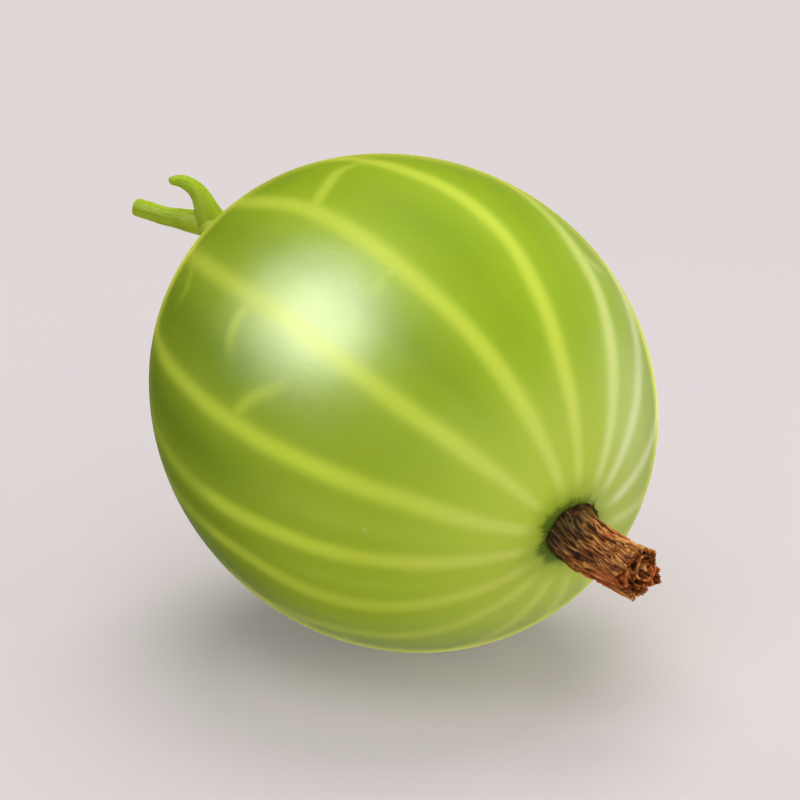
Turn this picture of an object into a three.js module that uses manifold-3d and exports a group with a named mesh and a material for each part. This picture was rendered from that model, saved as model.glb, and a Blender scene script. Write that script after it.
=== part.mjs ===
// A green gooseberry as picked, lying on its side: the berry with its small flat spot, the withered
// flower at its nose, and the short green stem with one hooked bract at its other end.
//
// Millimetres, +Z up. The origin is the centre of the flat spot. The nose points along +X and nods
// below level, so the stem end is the higher one.

import * as THREE from "three";
import { mergeVertices } from "three/addons/utils/BufferGeometryUtils.js";
import Module from "manifold-3d";

const wasm = await Module();
wasm.setup();

// ---- Driving dimensions ----

const BERRY_DIAMETER = 22; // across its widest ring
const BERRY_LENGTH = 24.7; // nose to stem end, before the dimples
const BERRY_FULLNESS = 0.03; // how much the nose half is fuller than the stem half
const BERRY_NOD = THREE.MathUtils.degToRad(14); // how far the nose points below level
const SPOT_RADIUS = 2.4; // the flat spot that it rests on
const NOSE_DIMPLE = { depth: 0.3, width: 1.9 };
const STEM_DIMPLE = { depth: 0.35, width: 1.4 };

const FLOWER_LENGTH = 5.3;
const FLOWER_BASE_RADIUS = 1.36;
const FLOWER_WAIST_RADIUS = 1.14;
const FLOWER_MOUTH_RADIUS = 1.24;
const FLOWER_WALL = 0.3;
const FLOWER_HOLLOW = 1.3; // depth of its open end
const FLOWER_LIFT = 0.62; // how far its mouth rises out of the berry's axis

const STEM_RADIUS = 0.56; // where it leaves the berry
const NODE_RADIUS = 0.64; // the swelling that the bract and the cut shoot grow from
const SHOOT_RADIUS = 0.42; // at its cut end
const BRACT_RADIUS = 0.4; // at its foot
const BRACT_TIP_RADIUS = 0.17;

const GAP = 0.2; // between pieces that grow on each other

// ---- Shapes ----

const HALF_LENGTH = BERRY_LENGTH / 2;
const HALF_DIAMETER = BERRY_DIAMETER / 2;

/** Point of the berry's outline: x is the radius, y the place along its axis; angle 0 is the nose. */
function outlinePoint(angle) {
  const radius = HALF_DIAMETER * Math.sin(angle) * (1 + BERRY_FULLNESS * Math.cos(angle));
  const nose = NOSE_DIMPLE.depth * Math.exp(-((radius / NOSE_DIMPLE.width) ** 2));
  const stem = STEM_DIMPLE.depth * Math.exp(-((radius / STEM_DIMPLE.width) ** 2));
  const dimple = angle < Math.PI / 2 ? -nose : stem;
  return new THREE.Vector2(radius, HALF_LENGTH * Math.cos(angle) + dimple);
}

/** The lowest point of the nodding berry, as [forward, down] from its centre. */
function lowestPoint() {
  let lowest = [0, 0];
  for (let angle = 1; angle < 2; angle += 0.001) {
    const { x: radius, y: along } = outlinePoint(angle);
    const down = radius * Math.cos(BERRY_NOD) + along * Math.sin(BERRY_NOD);
    const forward = along * Math.cos(BERRY_NOD) - radius * Math.sin(BERRY_NOD);
    if (down > lowest[1]) lowest = [forward, down];
  }
  return lowest;
}

const [LOWEST_FORWARD, LOWEST_DOWN] = lowestPoint();
const SPOT_DEPTH = SPOT_RADIUS ** 2 / BERRY_DIAMETER; // height of the cap that the spot takes off
const BERRY_CENTRE = new THREE.Vector3(-LOWEST_FORWARD, 0, LOWEST_DOWN - SPOT_DEPTH);
const NOSE_WARD = new THREE.Vector3(Math.cos(BERRY_NOD), 0, -Math.sin(BERRY_NOD));

/** A geometry with only positions, its shared vertices merged. */
function welded(geometry) {
  const bare = geometry.clone();
  bare.deleteAttribute("normal");
  bare.deleteAttribute("uv");
  return mergeVertices(bare, 1e-4);
}

/** The manifold-3d solid of a closed geometry. */
function solid(geometry) {
  const merged = welded(geometry);
  const vertProperties = new Float32Array(merged.attributes.position.array);
  const triVerts = new Uint32Array(merged.index.array);
  return new wasm.Manifold(new wasm.Mesh({ numProp: 3, vertProperties, triVerts }));
}

/** The geometry of a manifold-3d solid. */
function geometryOf(manifold) {
  const { vertProperties, triVerts } = manifold.getMesh();
  const geometry = new THREE.BufferGeometry();
  geometry.setAttribute("position", new THREE.BufferAttribute(vertProperties, 3));
  geometry.setIndex(new THREE.BufferAttribute(triVerts, 1));
  return geometry;
}

const ACROSS = new THREE.Vector3(0, 1, 0);

/** A revolved profile whose Y axis, 0 to length, is laid along a curve; shape may move each point first. */
function alongCurve(profile, segments, curve, length, shape = (point) => point) {
  const geometry = welded(new THREE.LatheGeometry(profile, segments));
  const position = geometry.attributes.position;
  const vertex = new THREE.Vector3();
  for (let i = 0; i < position.count; i++) {
    vertex.fromBufferAttribute(position, i);
    shape(vertex);
    const part = THREE.MathUtils.clamp(vertex.y / length, 0, 1);
    const tangent = curve.getTangentAt(part);
    const rise = tangent.clone().cross(ACROSS).normalize();
    const place = curve.getPointAt(part);
    place.addScaledVector(tangent, vertex.y - part * length);
    place.addScaledVector(rise, vertex.x).addScaledVector(rise.cross(tangent), vertex.z);
    position.setXYZ(i, place.x, place.y, place.z);
  }
  return geometry;
}

/** A round tapered rod along a curve, with softly rounded ends; radiusAt takes 0 to 1 along it. */
function rod(curve, radiusAt, sides, steps) {
  const length = curve.getLength();
  const profile = [new THREE.Vector2(0, 0), new THREE.Vector2(radiusAt(0) * 0.85, 0)];
  for (let i = 0; i <= steps; i++) {
    const inset = THREE.MathUtils.lerp(0.06, length - 0.06, i / steps);
    profile.push(new THREE.Vector2(radiusAt(i / steps), inset));
  }
  profile.push(new THREE.Vector2(radiusAt(1) * 0.85, length), new THREE.Vector2(0, length));
  return alongCurve(profile, sides, curve, length);
}

/** A smooth curve through points given as offsets from one point. */
function curveThrough(origin, offsets) {
  return new THREE.CatmullRomCurve3(offsets.map((offset) => new THREE.Vector3(...offset).add(origin)));
}

// ---- Berry ----

function makeBerry() {
  const rings = 40;
  const profile = [];
  for (let i = 0; i <= rings; i++) profile.push(outlinePoint(Math.PI * (1 - i / rings)));
  profile[0].x = 0;
  profile[rings].x = 0;
  const whole = new THREE.LatheGeometry(profile, 72);
  whole.rotateZ(-Math.PI / 2);
  whole.rotateY(BERRY_NOD);
  whole.translate(BERRY_CENTRE.x, BERRY_CENTRE.y, BERRY_CENTRE.z);
  const below = new THREE.BoxGeometry(BERRY_LENGTH, BERRY_LENGTH, 2);
  below.translate(0, 0, -1);
  return geometryOf(solid(whole).subtract(solid(below)));
}

// ---- Withered flower ----

/** The flower's outer radius at a place along it. */
function flowerRadius(along) {
  const part = along / FLOWER_LENGTH;
  if (part < 0.5) return THREE.MathUtils.lerp(FLOWER_BASE_RADIUS, FLOWER_WAIST_RADIUS, part / 0.5);
  return THREE.MathUtils.lerp(FLOWER_WAIST_RADIUS, FLOWER_MOUTH_RADIUS, (part - 0.5) / 0.5);
}

/** Folds the flower's round wall into furrows and gives its rim ragged lobes. */
function witherFlower(vertex) {
  const turn = Math.atan2(vertex.z, vertex.x);
  const part = vertex.y / FLOWER_LENGTH;
  const furrow = 0.05 * Math.sin(7 * turn + 1.5 * part) + 0.035 * Math.sin(11 * turn - 2 * part);
  const squeeze = 1 + 0.09 * part * Math.cos(2 * turn + 0.6);
  vertex.x *= (1 + furrow) * squeeze;
  vertex.z *= (1 + furrow) * squeeze;
  const ragged = 0.3 * Math.cos(3 * turn + 2.4) + 0.18 * Math.cos(5 * turn + 0.5);
  vertex.y += (ragged - 0.45) * Math.max(0, part - 0.6) / 0.4;
}

function makeFlower() {
  const rings = 12;
  const floor = FLOWER_LENGTH - FLOWER_HOLLOW;
  const profile = [new THREE.Vector2(0, 0)];
  for (let i = 0; i <= rings; i++) {
    const along = (FLOWER_LENGTH * i) / rings;
    profile.push(new THREE.Vector2(flowerRadius(along), along));
  }
  const inner = FLOWER_MOUTH_RADIUS - FLOWER_WALL;
  profile.push(new THREE.Vector2(inner, FLOWER_LENGTH - 0.1));
  profile.push(new THREE.Vector2(inner * 0.9, floor + FLOWER_HOLLOW / 2));
  profile.push(new THREE.Vector2(inner * 0.6, floor), new THREE.Vector2(0, floor - 0.05));
  const foot = HALF_LENGTH - NOSE_DIMPLE.depth + GAP;
  const start = BERRY_CENTRE.clone().addScaledVector(NOSE_WARD, foot);
  const middle = start.clone().addScaledVector(NOSE_WARD, FLOWER_LENGTH / 2);
  const tip = start.clone().addScaledVector(NOSE_WARD, FLOWER_LENGTH);
  tip.z += FLOWER_LIFT;
  const curve = new THREE.QuadraticBezierCurve3(start, middle, tip);
  return alongCurve(profile, 44, curve, FLOWER_LENGTH, witherFlower);
}

// ---- Stem and bract ----

const STEM_FOOT = BERRY_CENTRE.clone().addScaledVector(NOSE_WARD, STEM_DIMPLE.depth - GAP - HALF_LENGTH);
const NODE = STEM_FOOT.clone().add(new THREE.Vector3(-2.85, 1.0, 1.45));

/** The stalk from the berry to the node, joined with the shoot that was cut beyond it. */
function makeStem() {
  const stalk = curveThrough(STEM_FOOT, [
    [0, 0, 0],
    [-1, 0.12, 0.3],
    [-2, 0.5, 0.84],
    [-2.85, 1, 1.45],
  ]);
  const shoot = curveThrough(NODE, [
    [0.3, 0.15, -0.15],
    [-1.42, -0.47, -0.14],
    [-2.5, -0.82, -0.14],
    [-4, -1.3, 0],
  ]);
  const flare = (part, width) => Math.exp(-((part / width) ** 2));
  const swelling = (part) => (NODE_RADIUS - STEM_RADIUS) * part ** 3;
  const stalkRadius = (part) => STEM_RADIUS + 0.1 * flare(part, 0.2) + swelling(part);
  const shootRadius = (part) => SHOOT_RADIUS + 0.2 * flare(part, 0.35);
  const stalkSolid = solid(rod(stalk, stalkRadius, 20, 10));
  const shootSolid = solid(rod(shoot, shootRadius, 20, 12));
  return geometryOf(stalkSolid.add(shootSolid));
}

/** The small bract that rises from the node and hooks over towards the shoot's side. */
function makeBract() {
  const foot = NODE_RADIUS + GAP;
  const hook = curveThrough(NODE, [
    [-0.38, -0.16, foot],
    [-0.66, -0.22, foot + 0.42],
    [-1, -0.34, foot + 0.74],
    [-1.4, -0.6, foot + 0.95],
    [-1.84, -0.98, foot + 0.93],
  ]);
  const radius = (part) => THREE.MathUtils.lerp(BRACT_RADIUS, BRACT_TIP_RADIUS, part ** 1.2);
  return rod(hook, radius, 16, 12);
}

// ---- The whole gooseberry ----

const skin = new THREE.MeshStandardMaterial({ color: 0x9bb62b, roughness: 0.32, metalness: 0 });
const witheredTissue = new THREE.MeshStandardMaterial({ color: 0x8a5630, roughness: 0.9, metalness: 0 });
const stemSkin = new THREE.MeshStandardMaterial({ color: 0x8aa326, roughness: 0.55, metalness: 0 });
const bractSkin = new THREE.MeshStandardMaterial({ color: 0x93aa2a, roughness: 0.55, metalness: 0 });

const gooseberry = new THREE.Group();
for (const [name, geometry, material] of [
  ["berry", makeBerry(), skin],
  ["dried_flower", makeFlower(), witheredTissue],
  ["stem", makeStem(), stemSkin],
  ["bract", makeBract(), bractSkin],
]) {
  geometry.computeVertexNormals();
  const mesh = new THREE.Mesh(geometry, material);
  mesh.name = name;
  gooseberry.add(mesh);
}

export default gooseberry;
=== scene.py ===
"""A green gooseberry as picked, lying on its side: its veined skin, withered flower, stem and bract.

Sizes are in millimetres until a mesh is made, when they become metres. The berry's axis runs from
the stem end to the nose, where the withered flower is. A place on the skin is given by its angle
from the nose and its turn about that axis, with turn 0 on top and growing towards +Y.
"""

import logging
import math
from collections.abc import Sequence
from dataclasses import dataclass, field, replace
from enum import Enum

import bpy
import numpy as np
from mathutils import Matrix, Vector
from mathutils.kdtree import KDTree


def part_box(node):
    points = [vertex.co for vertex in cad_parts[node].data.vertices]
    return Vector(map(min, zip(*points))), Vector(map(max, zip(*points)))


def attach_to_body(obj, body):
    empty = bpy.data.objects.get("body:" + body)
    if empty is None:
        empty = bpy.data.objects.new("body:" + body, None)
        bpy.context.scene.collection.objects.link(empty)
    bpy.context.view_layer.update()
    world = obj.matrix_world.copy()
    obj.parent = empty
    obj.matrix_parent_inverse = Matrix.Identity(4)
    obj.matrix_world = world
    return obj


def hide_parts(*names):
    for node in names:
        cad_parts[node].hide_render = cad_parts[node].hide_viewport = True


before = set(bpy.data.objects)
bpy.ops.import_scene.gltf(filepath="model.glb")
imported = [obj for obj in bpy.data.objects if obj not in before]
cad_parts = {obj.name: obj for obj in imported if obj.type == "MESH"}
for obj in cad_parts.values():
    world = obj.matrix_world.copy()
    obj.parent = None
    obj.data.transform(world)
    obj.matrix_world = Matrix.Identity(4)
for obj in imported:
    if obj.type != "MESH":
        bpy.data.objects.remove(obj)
log = logging.getLogger("gooseberry")

MM = 0.001  # metres in a millimetre
Colour = tuple[float, float, float, float]
Masks = dict[str, np.ndarray]


def colour(red: int, green: int, blue: int) -> Colour:
    """Returns the linear colour of an sRGB one given in bytes."""
    shares = (red / 255, green / 255, blue / 255)
    linear = [c / 12.92 if c <= 0.04045 else ((c + 0.055) / 1.055) ** 2.4 for c in shares]
    return (linear[0], linear[1], linear[2], 1.0)


def smooth_step(value: np.ndarray, low: float, high: float) -> np.ndarray:
    """Returns 0 below low and 1 above high, with a soft rise between; low may be the higher one."""
    part = np.clip((value - low) / (high - low), 0, 1)
    return part * part * (3 - 2 * part)


def bell(value: np.ndarray, middle: float, width: float) -> np.ndarray:
    """Returns a bell of height 1 about middle; width is its standard deviation."""
    return np.exp(-0.5 * ((value - middle) / width) ** 2)


def unit(vectors: np.ndarray) -> np.ndarray:
    """Returns the vectors, which lie along the last axis, at length 1."""
    return vectors / np.linalg.norm(vectors, axis=-1, keepdims=True)


def centred(turn: np.ndarray, whole: float = 2 * math.pi) -> np.ndarray:
    """Brings turns into the one whole turn about 0."""
    return (turn + whole / 2) % whole - whole / 2


def smooth_course(points: Sequence[Sequence[float]], samples: int) -> np.ndarray:
    """Runs a smooth curve through points.

    Args:
        points: the points that it passes, in order.
        samples: how many places on the curve to return.

    Returns:
        The places, evenly spread over the spans between points.
    """
    knots = np.asarray(points, float)
    padded = np.vstack([2 * knots[0] - knots[1], knots, 2 * knots[-1] - knots[-2]])
    spread = np.linspace(0, len(knots) - 1, samples)
    span = np.minimum(spread.astype(int), len(knots) - 2)
    t = (spread - span)[:, None]
    a, b, c, d = (padded[span + k] for k in range(4))
    return 0.5 * (2 * b + (c - a) * t + (2 * a - 5 * b + 4 * c - d) * t**2 + (3 * b - 3 * c + d - a) * t**3)


class Noise:
    """Smooth seeded noise over space, from about -1 to 1."""

    def __init__(self, seed: int) -> None:
        """Fills the lattice that the noise is read from."""
        self.side = 32
        self.lattice = np.random.default_rng(seed).uniform(-1, 1, (self.side,) * 3)

    def at(self, points: np.ndarray, detail: int = 1) -> np.ndarray:
        """Reads the noise.

        Args:
            points: places, one row of three numbers each, in lattice cells.
            detail: how many octaves to add, each twice as fine and half as strong.

        Returns:
            One number for each place.
        """
        total = np.zeros(len(points))
        for octave in range(detail):
            place = points * 2**octave + 7.3 * octave
            cell = np.floor(place).astype(int)
            part = place - cell
            part = part * part * (3 - 2 * part)
            for corner in np.ndindex(2, 2, 2):
                weight = np.where(corner, part, 1 - part).prod(axis=1)
                x, y, z = ((cell + corner) % self.side).T
                total += weight * self.lattice[x, y, z] / 2**octave
        return total


# ---- Meshes ----

Faces = list[tuple[int, ...]]


def grid_faces(rows: int, columns: int, around: bool, first: int = 0, flipped: bool = False) -> Faces:
    """Lists the quads of a grid whose vertices run row by row.

    Args:
        rows: number of rows of vertices.
        columns: number of vertices in a row.
        around: whether each row closes on itself.
        first: index of the grid's first vertex.
        flipped: turns the faces over. Unflipped ones face the side that columns crossed with rows point to.

    Returns:
        The faces as tuples of vertex indices.
    """
    j = np.arange(columns if around else columns - 1)
    i = np.arange(rows - 1)[:, None] * columns + first
    k = (j + 1) % columns
    corners = np.stack([i + j, i + k, i + columns + k, i + columns + j], axis=-1).reshape(-1, 4)
    return [tuple(face) for face in (corners[:, ::-1] if flipped else corners).tolist()]


def fan_faces(hub: int, ring: int, columns: int, flipped: bool = False) -> Faces:
    """Lists the triangles that close a ring of vertices, which starts at index ring, onto one hub."""
    pairs = [(ring + j, ring + (j + 1) % columns) for j in range(columns)]
    return [(hub, b, a) if flipped else (hub, a, b) for a, b in pairs]


def thick_sheet(front: np.ndarray, thickness: float) -> tuple[np.ndarray, Faces]:
    """Gives a curved sheet a back and an edge.

    Args:
        front: the front side's places, as rows and columns.
        thickness: how far the back lies behind it.

    Returns:
        Vertices and faces of the closed sheet. The front faces where rows crossed with columns point to.
    """
    rows, columns, _ = front.shape
    normal = unit(np.cross(np.gradient(front, axis=0), np.gradient(front, axis=1)))
    vertices = np.vstack([front.reshape(-1, 3), (front - thickness * normal).reshape(-1, 3)])
    count = rows * columns
    faces = grid_faces(rows, columns, around=False, flipped=True)
    faces += grid_faces(rows, columns, around=False, first=count)
    index = np.arange(count).reshape(rows, columns)
    loop = [*index[0], *index[1:, -1], *index[-1, -2::-1], *index[-2:0:-1, 0]]
    faces += [(a, b, b + count, a + count) for a, b in zip(loop, loop[1:] + loop[:1], strict=True)]
    return vertices, faces


def joined(parts: Sequence[tuple[np.ndarray, Faces]]) -> tuple[np.ndarray, Faces]:
    """Puts several meshes, as vertices and faces, into one."""
    faces: Faces = []
    first = 0
    for vertices, own in parts:
        faces += [tuple(int(k) + first for k in face) for face in own]
        first += len(vertices)
    return np.vstack([vertices for vertices, _ in parts]), faces


def mesh_object(
    name: str,
    vertices: np.ndarray,
    faces: Faces,
    material: bpy.types.Material | None = None,
    masks: Masks | None = None,
) -> bpy.types.Object:
    """Makes a smooth mesh object from millimetres.

    Args:
        name: the object's name.
        vertices: one row of three numbers each, in millimetres.
        faces: tuples of vertex indices, anticlockwise seen from outside.
        material: what it is dressed in.
        masks: numbers or vectors for each vertex, kept as attributes of these names.

    Returns:
        The object, in the scene and at the origin.
    """
    mesh = bpy.data.meshes.new(name)
    mesh.from_pydata((vertices * MM).tolist(), [], faces)
    mesh.shade_smooth()
    for mask, values in (masks or {}).items():
        vector = values.ndim == 2
        attribute = mesh.attributes.new(mask, "FLOAT_VECTOR" if vector else "FLOAT", "POINT")
        attribute.data.foreach_set("vector" if vector else "value", values.astype(np.float32).ravel())
    if material:
        mesh.materials.append(material)
    made = bpy.data.objects.new(name, mesh)
    bpy.context.scene.collection.objects.link(made)
    return made


def evaluated_mesh(thing: bpy.types.Object) -> bpy.types.Mesh:
    """Returns a plain mesh of the object as its modifiers make it."""
    graph = bpy.context.evaluated_depsgraph_get()
    return bpy.data.meshes.new_from_object(thing.evaluated_get(graph), depsgraph=graph)


def fused(vertices: np.ndarray, faces: Faces, voxel: float) -> tuple[np.ndarray, Faces]:
    """Fuses closed meshes that run into each other into one skin with soft corners.

    Args:
        vertices: places in millimetres.
        faces: their faces.
        voxel: size of the new faces, in millimetres.

    Returns:
        Vertices and faces of the one skin.
    """
    source = mesh_object("fusing", vertices / MM, faces)
    remesh = source.modifiers.new("Fuse", "REMESH")
    remesh.mode = "VOXEL"
    remesh.voxel_size = voxel
    soften = source.modifiers.new("Soften", "SMOOTH")
    soften.factor, soften.iterations = 0.5, 6
    mesh = evaluated_mesh(source)
    places = np.empty(len(mesh.vertices) * 3)
    mesh.vertices.foreach_get("co", places)
    skin = [tuple(face.vertices) for face in mesh.polygons]
    bpy.data.objects.remove(source)
    bpy.data.meshes.remove(mesh)
    return places.reshape(-1, 3), skin


def nearest_places(vertices: np.ndarray, places: np.ndarray) -> tuple[np.ndarray, np.ndarray]:
    """Returns the number of the place nearest to each vertex, and how far away it is."""
    tree = KDTree(len(places))
    for index, place in enumerate(places.tolist()):
        tree.insert(place, index)
    tree.balance()
    found = [tree.find(vertex)[1:] for vertex in vertices.tolist()]
    return np.array([index for index, _ in found]), np.array([away for _, away in found])


def about_line(vertices: np.ndarray, line: np.ndarray) -> tuple[np.ndarray, np.ndarray]:
    """Finds where each vertex is about a line.

    Args:
        vertices: places, a row each.
        line: the line's points.

    Returns:
        The number of the nearest point, and the unit direction from it, for each vertex.
    """
    nearest, _ = nearest_places(vertices, line)
    return nearest, unit(vertices - line[nearest])


def bark(noise: Noise, spoke: np.ndarray, run: np.ndarray, coarse: float, fine: float) -> np.ndarray:
    """Works out the ridges along a green rod.

    Args:
        noise: what they are read from.
        spoke: the unit direction out of the rod at each vertex.
        run: how far along each vertex is, in cells of the noise.
        coarse: cells around the rod for the broad ridges.
        fine: the same for the narrow ones.

    Returns:
        The height at each vertex, about 0.
    """
    return 0.6 * noise.at(spoke * coarse + run, 2) + 0.6 * noise.at(spoke * fine + 1.6 * run)


def attach(piece: bpy.types.Object, node: str | None = None) -> None:
    """Ties a finished piece to the frame and reports it.

    Args:
        piece: the finished piece.
        node: the CAD node that it stands for, if any.
    """
    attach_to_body(piece, "root")
    if node:
        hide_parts(node)
    triangles = sum(len(face.vertices) - 2 for face in piece.data.polygons)
    log.info("%s: %d triangles", piece.name, triangles)


@dataclass
class Tube:
    """A rod along a curve. Its angle is 0 on the upper side and grows towards +Y."""

    line: np.ndarray  # places on its centre line, from foot to tip
    radius: np.ndarray  # at each of them
    sides: int = 48

    def directions(self) -> tuple[np.ndarray, np.ndarray, np.ndarray]:
        """Returns the directions along, up and across at each place on the line."""
        along = unit(np.gradient(self.line, axis=0))
        up = unit(np.cross(along, np.array([0.0, 1.0, 0.0])))
        return along, up, np.cross(up, along)

    def rows(self, factor: np.ndarray | float = 1.0) -> np.ndarray:
        """Lays the skin out as rows of places; factor changes the radius there."""
        _, up, across = self.directions()
        angle = np.linspace(0, 2 * math.pi, self.sides, endpoint=False)
        spokes = up[:, None] * np.cos(angle)[:, None] + across[:, None] * np.sin(angle)[:, None]
        return self.line[:, None] + (self.radius[:, None] * factor)[..., None] * spokes

    def closed(self, factor: np.ndarray | float = 1.0) -> tuple[np.ndarray, Faces]:
        """Returns the vertices and faces of the rod, closed at both ends."""
        count, sides = len(self.line), self.sides
        vertices = np.vstack([self.rows(factor).reshape(-1, 3), self.line[0], self.line[-1]])
        faces = grid_faces(count, sides, around=True, flipped=True)
        faces += fan_faces(count * sides, 0, sides)
        faces += fan_faces(count * sides + 1, (count - 1) * sides, sides, flipped=True)
        return vertices, faces


# ---- Shading ----


class Graph:
    """Adds and wires the nodes of one tree."""

    def __init__(self, tree: bpy.types.NodeTree) -> None:
        """Empties the tree."""
        self.tree = tree
        tree.nodes.clear()

    def node(
        self, kind: str, inputs: dict[str | int, object] | None = None, **settings: object
    ) -> bpy.types.Node:
        """Adds a node.

        Args:
            kind: Blender's name of the node type.
            inputs: what feeds each input, by its name or number: a socket or a plain value.
            **settings: the node's own settings.

        Returns:
            The node.
        """
        made = self.tree.nodes.new(kind)
        for name, value in settings.items():
            setattr(made, name, value)
        for name, value in (inputs or {}).items():
            if isinstance(value, bpy.types.NodeSocket):
                self.tree.links.new(value, made.inputs[name])
            else:
                made.inputs[name].default_value = value
        return made

    def mask(self, name: str) -> bpy.types.NodeSocket:
        """Reads a number kept on the mesh."""
        return self.node("ShaderNodeAttribute", attribute_name=name).outputs["Fac"]

    def place(self) -> bpy.types.NodeSocket:
        """Returns Object coordinates."""
        return self.node("ShaderNodeTexCoord").outputs["Object"]

    def math(self, operation: str, first: object, second: object) -> bpy.types.NodeSocket:
        """Works out one number from two."""
        return self.node("ShaderNodeMath", {0: first, 1: second}, operation=operation).outputs[0]

    def ramp(
        self, value: object, low: float, high: float, start: float = 0.0, end: float = 1.0
    ) -> bpy.types.NodeSocket:
        """Maps low to high onto start to end, with soft ends."""
        inputs = {"Value": value, "From Min": low, "From Max": high, "To Min": start, "To Max": end}
        return self.node("ShaderNodeMapRange", inputs, interpolation_type="SMOOTHSTEP").outputs["Result"]

    def mix(self, factor: object, first: object, second: object) -> bpy.types.NodeSocket:
        """Mixes two colours."""
        return self.node("ShaderNodeMix", {0: factor, 6: first, 7: second}, data_type="RGBA").outputs[2]

    def noise(self, scale: object, detail: float = 2.0) -> bpy.types.NodeSocket:
        """Returns noise about 0.5 over Object coordinates, with scale cells in a metre."""
        inputs = {"Vector": self.place(), "Scale": scale, "Detail": detail}
        return self.node("ShaderNodeTexNoise", inputs).outputs["Fac"]

    def dot(self, place: object, way: Vector) -> bpy.types.NodeSocket:
        """Returns how far the place lies along a direction."""
        return self.node("ShaderNodeVectorMath", {0: place, 1: way}, operation="DOT_PRODUCT").outputs["Value"]

    def blend(self, share: object, first: object, second: object) -> bpy.types.NodeSocket:
        """Blends two shaders."""
        return self.node("ShaderNodeMixShader", {0: share, 1: first, 2: second}).outputs[0]

    def bump(self, height: object, distance: float) -> bpy.types.NodeSocket:
        """Returns the normal of a surface raised by height times distance."""
        return self.node("ShaderNodeBump", {"Height": height, "Distance": distance}).outputs["Normal"]

    def group(self, tree: bpy.types.NodeTree, **inputs: object) -> bpy.types.NodeSocket:
        """Places a shader group with these inputs, and returns its output."""
        return self.node("ShaderNodeGroup", inputs, node_tree=tree).outputs[0]


def new_material(name: str) -> tuple[bpy.types.Material, Graph]:
    """Makes a material with an empty node tree, and the means to fill it."""
    material = bpy.data.materials.new(name)
    material.use_nodes = True
    return material, Graph(material.node_tree)


def finish_surface(graph: Graph, inputs: dict[str, object]) -> None:
    """Ends a material's tree in a Principled shader with these inputs."""
    shader = graph.node("ShaderNodeBsdfPrincipled", inputs)
    graph.node("ShaderNodeOutputMaterial", {"Surface": shader.outputs[0]})


def new_group(
    name: str, inputs: dict[str, tuple[str, object]], output: tuple[str, str]
) -> tuple[bpy.types.NodeTree, Graph]:
    """Makes an empty shader node group.

    Args:
        name: its name.
        inputs: socket type and default value for each named input.
        output: name and socket type of what it puts out.

    Returns:
        The group and the means to fill it.
    """
    tree = bpy.data.node_groups.new(name, "ShaderNodeTree")
    for label, (kind, value) in inputs.items():
        tree.interface.new_socket(label, in_out="INPUT", socket_type=kind).default_value = value
    tree.interface.new_socket(output[0], in_out="OUTPUT", socket_type=output[1])
    return tree, Graph(tree)


class Effects:
    """The shader groups that several finishes share."""

    def __init__(self) -> None:
        """Builds each group once."""
        self.mottle = self._mottle()
        self.grain = self._grain()

    @staticmethod
    def _mottle() -> bpy.types.NodeTree:
        """Builds the soft, uneven blend of two colours that living tissue has."""
        inputs = {
            "Colour": ("NodeSocketColor", (0.5, 0.5, 0.5, 1.0)),
            "Other": ("NodeSocketColor", (0.2, 0.2, 0.2, 1.0)),
            "Amount": ("NodeSocketFloat", 0.5),
            "Scale": ("NodeSocketFloat", 300.0),
        }
        tree, graph = new_group("Mottle", inputs, ("Colour", "NodeSocketColor"))
        given = graph.node("NodeGroupInput").outputs
        noise = graph.noise(given["Scale"], 3.0)
        share = graph.math("MULTIPLY", graph.ramp(noise, 0.3, 0.7), given["Amount"])
        graph.node("NodeGroupOutput", {0: graph.mix(share, given["Colour"], given["Other"])})
        return tree

    @staticmethod
    def _grain() -> bpy.types.NodeTree:
        """Builds the height of fine cells and soft dents in a skin."""
        inputs = {"Scale": ("NodeSocketFloat", 3000.0), "Dents": ("NodeSocketFloat", 0.5)}
        tree, graph = new_group("Grain", inputs, ("Height", "NodeSocketFloat"))
        given = graph.node("NodeGroupInput").outputs
        cells = graph.node("ShaderNodeTexVoronoi", {"Vector": graph.place(), "Scale": given["Scale"]})
        coarse = graph.math("MULTIPLY", given["Scale"], 0.22)
        dents = graph.math("MULTIPLY", graph.noise(coarse, 2.0), given["Dents"])
        graph.node("NodeGroupOutput", {0: graph.math("ADD", cells.outputs["Distance"], dents)})
        return tree


# ---- Finishes ----


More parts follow.
